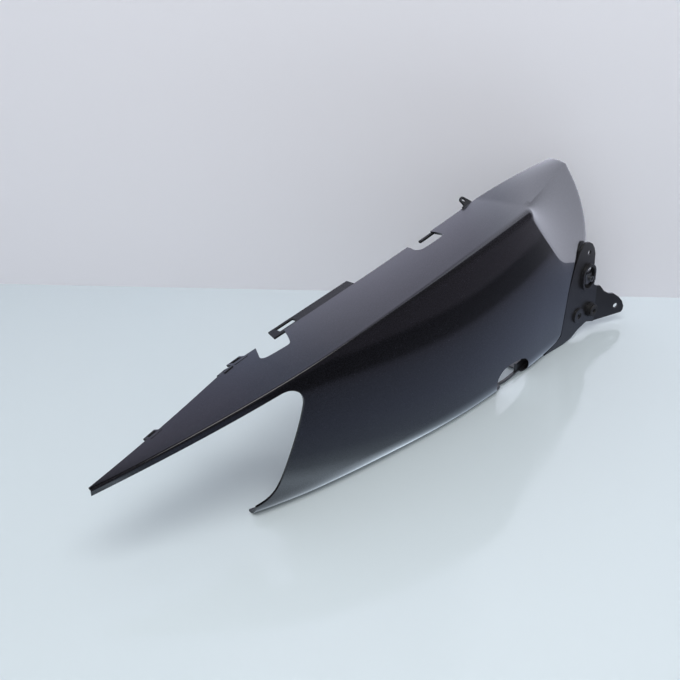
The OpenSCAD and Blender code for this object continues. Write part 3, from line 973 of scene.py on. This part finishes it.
class SIDEPANEL_OT_clip_nut(bpy.types.Operator):
    """Build the folded spring nut on the tongue of the oval window"""
    bl_idname = "sidepanel.clip_nut"
    bl_label = "Clip Nut"

    def execute(self, context):
        sizes, finish = context.scene.panel_fittings, context.scene.panel_finish
        tab, bore = millimetres(sizes.tab_t), millimetres(sizes.nut_bore) / 2
        fold_x = FOLD_AT + tab / 2 + LEAF
        outline = [(fold_x, -6.5), (2.8, -6.5), (3.8, -5.5), (3.8, 5.5), (2.8, 6.5), (fold_x, 6.5)]
        bm = bmesh.new()
        plate(bm, outline, LEAF, Matrix.Translation((0, 0, -LEAF)), holes=[((0, 0), bore, 0)])
        plate(bm, outline, LEAF, Matrix.Translation((0, 0, tab)),
              bosses=[(((0, 0), bore, 0), COLLAR_WALL, COLLAR_HEIGHT)])
        ends = [f for f in bm.faces if f.calc_center_median().x < fold_x + 0.01]
        lower = list({e for f in ends if f.calc_center_median().z < tab / 2 for e in f.edges})
        bmesh.ops.delete(bm, geom=ends, context="FACES_ONLY")
        bmesh.ops.spin(bm, geom=lower, axis=(0, 1, 0), cent=(fold_x, 0, tab / 2), angle=math.pi,
                       steps=FOLD_STEPS, use_merge=False)
        bmesh.ops.remove_doubles(bm, verts=bm.verts, dist=0.01)
        bmesh.ops.recalc_face_normals(bm, faces=bm.faces)
        bmesh.ops.transform(bm, verts=bm.verts, matrix=on_bracket(CLIP_AT))
        finish_piece(bm, "clip_nut_steel", [spring_steel(finish)], LEAF_ROUND, ["clip_nut"])
        return {"FINISHED"}


# Rounding of the rubber nut's edges in metres, and the steps round it
RUBBER_ROUND, RUBBER_STEPS = 0.0002, 48


class SIDEPANEL_OT_grommet_nut(bpy.types.Operator):
    """Build the rubber nut in the hub"""
    bl_idname = "sidepanel.grommet_nut"
    bl_label = "Rubber Nut"

    def execute(self, context):
        sizes, finish = context.scene.panel_fittings, context.scene.panel_finish
        bore = millimetres(sizes.nut_bore) / 2
        profile = [(bore, -3), (5.1, -3), (5.5, -2.6), (5.5, 8), (7.2, 8), (7.5, 8.3), (7.5, 9.6),
                   (7.1, 10), (bore + 0.7, 10), (bore, 9.3)]
        bm = bmesh.new()
        section = loop_of(bm, profile)
        verts = list({v for edge in section for v in edge.verts})
        for vert in verts:
            vert.co.yz = 0, vert.co.y
        bmesh.ops.spin(bm, geom=verts + section, axis=(0, 0, 1), cent=(0, 0, 0),
                       angle=2 * math.pi, steps=RUBBER_STEPS, use_merge=True)
        bmesh.ops.remove_doubles(bm, verts=bm.verts, dist=0.001)
        bmesh.ops.recalc_face_normals(bm, faces=bm.faces)
        bmesh.ops.transform(bm, verts=bm.verts, matrix=on_bracket(HUB_AT))
        finish_piece(bm, "grommet_nut_rubber", [nut_rubber(finish)], RUBBER_ROUND, ["grommet_nut"])
        return {"FINISHED"}


def stage_plane(name, corners, material):
    bm = bmesh.new()
    bm.faces.new([bm.verts.new(corner) for corner in corners])
    mesh = bpy.data.meshes.new(name)
    bm.to_mesh(mesh)
    bm.free()
    plane = bpy.data.objects.new(name, mesh)
    mesh.materials.append(material)
    bpy.context.scene.collection.objects.link(plane)


def area_light(name, at, target, size, power, colour):
    light = bpy.data.lights.new(name, "AREA")
    light.shape = "RECTANGLE"
    light.size, light.size_y = size
    light.energy = power
    light.color = colour
    lamp = bpy.data.objects.new(name, light)
    lamp.location = at
    lamp.rotation_euler = (Vector(target) - Vector(at)).to_track_quat("-Z", "Y").to_euler()
    bpy.context.scene.collection.objects.link(lamp)
    return lamp


def choose_shader(tree, at, factor, plain, other):
    """Mixes two shaders by a factor: 0 shows the plain one."""
    choose = add_node(tree, "ShaderNodeMixShader", at)
    tree.links.new(factor, choose.inputs[0])
    tree.links.new(plain.outputs[0], choose.inputs[1])
    tree.links.new(other.outputs[0], choose.inputs[2])
    return choose


def show_in_gloss(tree, plain, other, end):
    """Shows glossy rays the other shader, and all other rays the plain one."""
    path = add_node(tree, "ShaderNodeLightPath", (0, 1200))
    choose = choose_shader(tree, (500, 900), path.outputs["Is Glossy Ray"], plain, other)
    tree.links.new(choose.outputs[0], tree.nodes[end].inputs["Surface"])


def painted_reflection_ramp(material, plain, direction, offset, stops):
    """Paints a glow on a stage surface that only glossy rays see, a painted reflection in the glossy
    paint.

    The glow runs through the stops with the distance along a direction.
    """
    tree = material.node_tree
    along = add_node(tree, "ShaderNodeVectorMath", (-700, 900), operation="DOT_PRODUCT")
    feed(tree, along.inputs[0], object_coords(tree, (-900, 900)))
    feed(tree, along.inputs[1], direction)
    ramp = add_node(tree, "ShaderNodeValToRGB", (-300, 900),
                    Fac=combine(tree, (-500, 900), "ADD", along.outputs["Value"], offset))
    points = ramp.color_ramp.elements
    while len(points) < len(stops):
        points.new(0.5)
    brightest = max(max(colour) for _, colour in stops)
    for point, (position, colour) in zip(points, stops):
        point.position = position
        point.color = (*(c / brightest for c in colour), 1.0)
    # Emission that only glossy rays see: the painted reflection
    painted_glow = add_node(tree, "ShaderNodeEmission", (0, 900), Strength=brightest,
                    Color=ramp.outputs["Color"])
    show_in_gloss(tree, plain, painted_glow, "Material Output")


# Painted reflection: in the paint's mirror image the floor glows in these tones, darker right
# by the panel as painted shadow, then darkening away from it to a dark edge, with dim
# surroundings past it
FLOOR_RUN, FLOOR_OFFSET, FLOOR_REACH = (0.28, -0.96, 0.0), 0.1, 4
FLOOR_PAINTED_REFLECTION = (
    (0.08, (0.40, 0.46, 0.52)), (0.11, (0.9, 1.05, 1.2)), (0.142, (1.4, 1.65, 1.9)),
    (0.16, (0.60, 0.72, 0.86)), (0.18, (0.37, 0.44, 0.58)), (0.22, (0.31, 0.36, 0.51)),
    (0.28, (0.25, 0.28, 0.39)), (0.300, (0.21, 0.22, 0.30)), (0.314, (0.06, 0.06, 0.07)),
    (0.356, (0.05, 0.05, 0.06)), (0.370, (0.16, 0.15, 0.19)), (0.9, (0.19, 0.18, 0.22)))
# Painted reflection too: in the mirror image the backdrop glows brighter behind the tail and dark past
# both ends
BACKDROP_RUN, BACKDROP_OFFSET = (0.3815, -0.323, 0.0), 0.4105
BACKDROP_PAINTED_REFLECTION = (
    (0.055, (0.02, 0.02, 0.025)), (0.065, (0.25, 0.25, 0.32)), (0.11, (0.36, 0.36, 0.48)),
    (0.20, (0.40, 0.41, 0.57)), (0.25, (0.44, 0.49, 0.68)), (0.31, (0.64, 0.66, 0.84)),
    (0.36, (0.76, 0.77, 0.97)), (0.43, (0.69, 0.70, 0.88)), (0.455, (0.78, 0.82, 1.0)),
    (0.48, (1.2, 1.24, 1.46)), (0.63, (1.35, 1.40, 1.64)), (0.68, (0.45, 0.46, 0.55)),
    (0.74, (0.22, 0.21, 0.26)))
# Two points on the backdrop's foot, what it runs on past them, and its height
FOOT_FROM, FOOT_TO = Vector((-0.2003, 0.5701, 0)), Vector((0.4815, -0.0068, 0))
RUN_LEFT, RUN_RIGHT, BACKDROP_HEIGHT = 1, 3, 2.5
# Where the camera heads in plan
HEADING = Vector((0.6115, 0.7912, 0.0))


def place_camera(scene, setup):
    look = HEADING * math.cos(setup.pitch) - Vector((0, 0, math.sin(setup.pitch)))
    data = bpy.data.cameras.new("photo_camera")
    data.lens = setup.lens
    data.sensor_width = 36.0
    camera = bpy.data.objects.new("photo_camera", data)
    camera.location = setup.camera_at
    camera.rotation_euler = look.to_track_quat("-Z", "Y").to_euler()
    scene.collection.objects.link(camera)
    scene.camera = camera


def lay_floor(setup):
    pale, _, shader = blank_material("pale_floor", setup.floor, Roughness=0.10,
                                     Specular_IOR_Level=0.4)
    # The floor's painted reflection in the glossy paint
    painted_reflection_ramp(pale, shader, FLOOR_RUN, FLOOR_OFFSET, FLOOR_PAINTED_REFLECTION)
    reach = FLOOR_REACH
    stage_plane("floor", [(-reach, -reach, 0), (reach, -reach, 0), (reach, reach, 0),
                          (-reach, reach, 0)], pale)


def stand_backdrop(setup):
    """Stands the backdrop behind the panel; from its back it is clear."""
    pale, tree, shader = blank_material("pale_backdrop", setup.backdrop, Roughness=0.9)
    shape = add_node(tree, "ShaderNodeNewGeometry", (-200, 300))
    clear = add_node(tree, "ShaderNodeBsdfTransparent", (-200, 500))
    front = choose_shader(tree, (200, 300), shape.outputs["Backfacing"], shader, clear)
    # The backdrop's painted reflection in the glossy paint
    painted_reflection_ramp(pale, front, BACKDROP_RUN, BACKDROP_OFFSET, BACKDROP_PAINTED_REFLECTION)
    along = (FOOT_TO - FOOT_FROM).normalized()
    left, right = FOOT_FROM - along * RUN_LEFT, FOOT_TO + along * RUN_RIGHT
    rise = Vector((0, 0, BACKDROP_HEIGHT))
    stage_plane("backdrop", [left, right, right + rise, left + rise], pale)


def light_evenly(scene, setup):
    """Even light from all sides, dimmer where the glossy paint mirrors it."""
    world = scene.world or bpy.data.worlds.new("surroundings")
    scene.world = world
    world.use_nodes = True
    tree = world.node_tree
    even = tree.nodes["Background"]
    even.inputs["Color"].default_value = (0.86, 0.87, 0.90, 1.0)
    even.inputs["Strength"].default_value = setup.even
    dim = add_node(tree, "ShaderNodeBackground", (0, -200), Color=(0.17, 0.165, 0.19, 1.0))
    show_in_gloss(tree, even, dim, "World Output")


class SIDEPANEL_OT_stage(bpy.types.Operator):
    """Set the pale floor, backdrop, soft lights and camera"""
    bl_idname = "sidepanel.stage"
    bl_label = "Stage"

    def execute(self, context):
        setup, scene = context.scene.panel_studio, context.scene
        place_camera(scene, setup)
        lay_floor(setup)
        stand_backdrop(setup)
        area_light("key_overhead", (-0.35, -0.5, 1.7), (-0.1, -0.1, 0), (1.1, 0.9), setup.key,
                   (1, 0.99, 0.98))
        fill = area_light("fill_camera", (-1.5, -1.2, 1.4), (0, 0, 0.1), (1.4, 1.4), setup.fill,
                          (0.97, 0.98, 1))
        fill.visible_glossy = False
        light_evenly(scene, setup)
        scene.view_settings.view_transform = "Standard"
        scene.view_settings.look = "None"
        scene.view_settings.exposure = 0.0
        return {"FINISHED"}


class SIDEPANEL_PT_tools(bpy.types.Panel):
    """Sizes, finishes and build steps of the side panel"""
    bl_label = "Side Panel"
    bl_idname = "SIDEPANEL_PT_tools"
    bl_space_type = "VIEW_3D"
    bl_region_type = "UI"
    bl_category = "Side Panel"

    def draw(self, context):
        for group in (context.scene.panel_shell, context.scene.panel_fittings,
                      context.scene.panel_finish, context.scene.panel_studio):
            box = self.layout.box()
            for name in group.__annotations__:
                box.prop(group, name)
        for step in BUILD_STEPS:
            self.layout.operator(step.bl_idname)


BUILD_STEPS = (SIDEPANEL_OT_shell, SIDEPANEL_OT_edge_fittings, SIDEPANEL_OT_low_fittings,
               SIDEPANEL_OT_rear_bracket, SIDEPANEL_OT_clip_nut, SIDEPANEL_OT_grommet_nut,
               SIDEPANEL_OT_stage)
GROUPS = {"panel_shell": ShellSizes, "panel_fittings": FittingSizes, "panel_finish": Finishes,
          "panel_studio": StudioSetup}


def register():
    for cls in (*GROUPS.values(), *BUILD_STEPS, SIDEPANEL_PT_tools):
        bpy.utils.register_class(cls)
    for name, group in GROUPS.items():
        setattr(bpy.types.Scene, name, PointerProperty(type=group))


def unregister():
    for name in GROUPS:
        delattr(bpy.types.Scene, name)
    for cls in reversed((*GROUPS.values(), *BUILD_STEPS, SIDEPANEL_PT_tools)):
        bpy.utils.unregister_class(cls)


def main():
    register()
    bpy.ops.sidepanel.shell()
    bpy.ops.sidepanel.edge_fittings()
    bpy.ops.sidepanel.low_fittings()
    bpy.ops.sidepanel.rear_bracket()
    bpy.ops.sidepanel.clip_nut()
    bpy.ops.sidepanel.grommet_nut()
    bpy.ops.sidepanel.stage()


if __name__ == "__main__":
    main()
